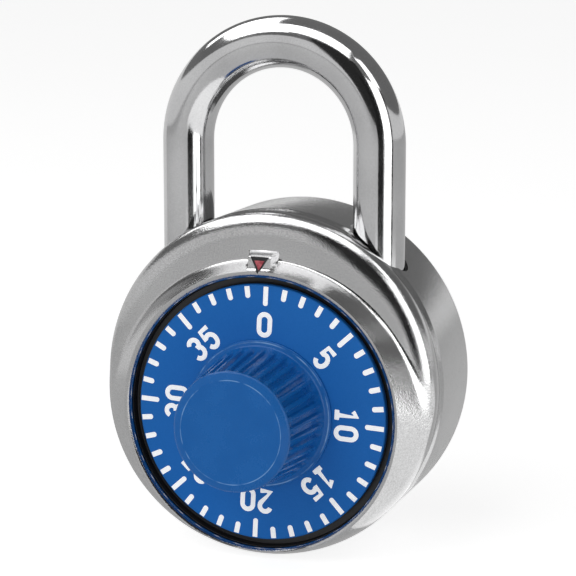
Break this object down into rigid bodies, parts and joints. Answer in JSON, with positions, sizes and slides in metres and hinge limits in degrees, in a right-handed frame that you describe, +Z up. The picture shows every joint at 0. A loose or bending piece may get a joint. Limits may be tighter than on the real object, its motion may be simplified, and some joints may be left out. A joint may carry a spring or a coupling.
{
  "type": "combination padlock",
  "caption": "Round dial padlock: a knob turns gated wheels that let a lever drop, so the steel shackle lifts free of the drum.",
  "frame": {"origin": "centre of the flat pad of the rear cover, on the drum's axis", "axes": "+X to the right and +Z up as the dial is read, +Y out of the flat back; the dial faces -Y and the shackle stands up along +Z"},
  "size_m": [0.048, 0.0335, 0.0743],
  "materials": {
    "satin_steel": "drawn stainless steel, buffed on the edges and satin on the flats",
    "bright_steel": "polished hardened steel rod with a bright plated surface",
    "dial_blue": "smooth enamel",
    "knob_blue": "moulded, slightly glossy",
    "dial_white": "white filled graduations",
    "marker_red": "red filled mark",
    "plain_steel": "zinc flashed pressing",
    "spring_steel": "blued spring temper",
    "brass_parts": "blanked and tumbled"
  },
  "bodies": {
    "housing": {"front_shell": "satin_steel", "index_marker": "marker_red", "back_cover": "satin_steel", "inner_liner": "plain_steel", "mechanism_plate": "plain_steel", "plate_standoffs": "plain_steel", "heel_guide": "plain_steel", "heel_retainer": "plain_steel", "wheel_post": "plain_steel", "pack_spring": "spring_steel", "rear_spacer": "brass_parts", "middle_spacer": "brass_parts", "front_spacer": "brass_parts", "spindle_bushing": "brass_parts", "dial_washer": "spring_steel", "lever_pin": "plain_steel", "lever_clip": "spring_steel", "lever_spring": "spring_steel"},
    "dial": {"dial_plate": "dial_blue", "knob": "knob_blue", "spindle": "plain_steel", "driver_disc": "brass_parts", "driver_screw": "plain_steel"},
    "wheel_3": {"tumbler_3": "brass_parts"},
    "wheel_2": {"tumbler_2": "brass_parts"},
    "wheel_1": {"tumbler_1": "brass_parts"},
    "shackle": {"shackle": "bright_steel"},
    "lever": {"locking_lever": "plain_steel"}
  },
  "joints": [
    {"name": "dial_turn", "type": "hinge", "parent": "housing", "child": "dial", "pos_m": [0, -0.0204, -0.0034], "axis": [0, -1, 0], "continuous": true},
    {"name": "wheel_3_turn", "type": "hinge", "parent": "dial", "child": "wheel_3", "pos_m": [0, -0.0152, -0.0034], "axis": [0, -1, 0], "range_deg": [-150, 180]},
    {"name": "wheel_2_turn", "type": "hinge", "parent": "wheel_3", "child": "wheel_2", "pos_m": [0, -0.0124, -0.0034], "axis": [0, -1, 0], "range_deg": [-330, 0]},
    {"name": "wheel_1_turn", "type": "hinge", "parent": "wheel_2", "child": "wheel_1", "pos_m": [0, -0.0096, -0.0034], "axis": [0, -1, 0], "range_deg": [-330, 0]},
    {"name": "shackle_lift", "type": "slide", "parent": "housing", "child": "shackle", "axis": [0, 0, 1], "range_m": [0, 0.012]},
    {"name": "lever_swing", "type": "hinge", "parent": "housing", "child": "lever", "pos_m": [0.0135, -0.0126, -0.0125], "axis": [0, -1, 0], "range_deg": [0, 9]}
  ],
  "couplings": [
    {"joint": "lever_swing", "follows": "shackle_lift", "rad_per_m": 13.08}
  ]
}
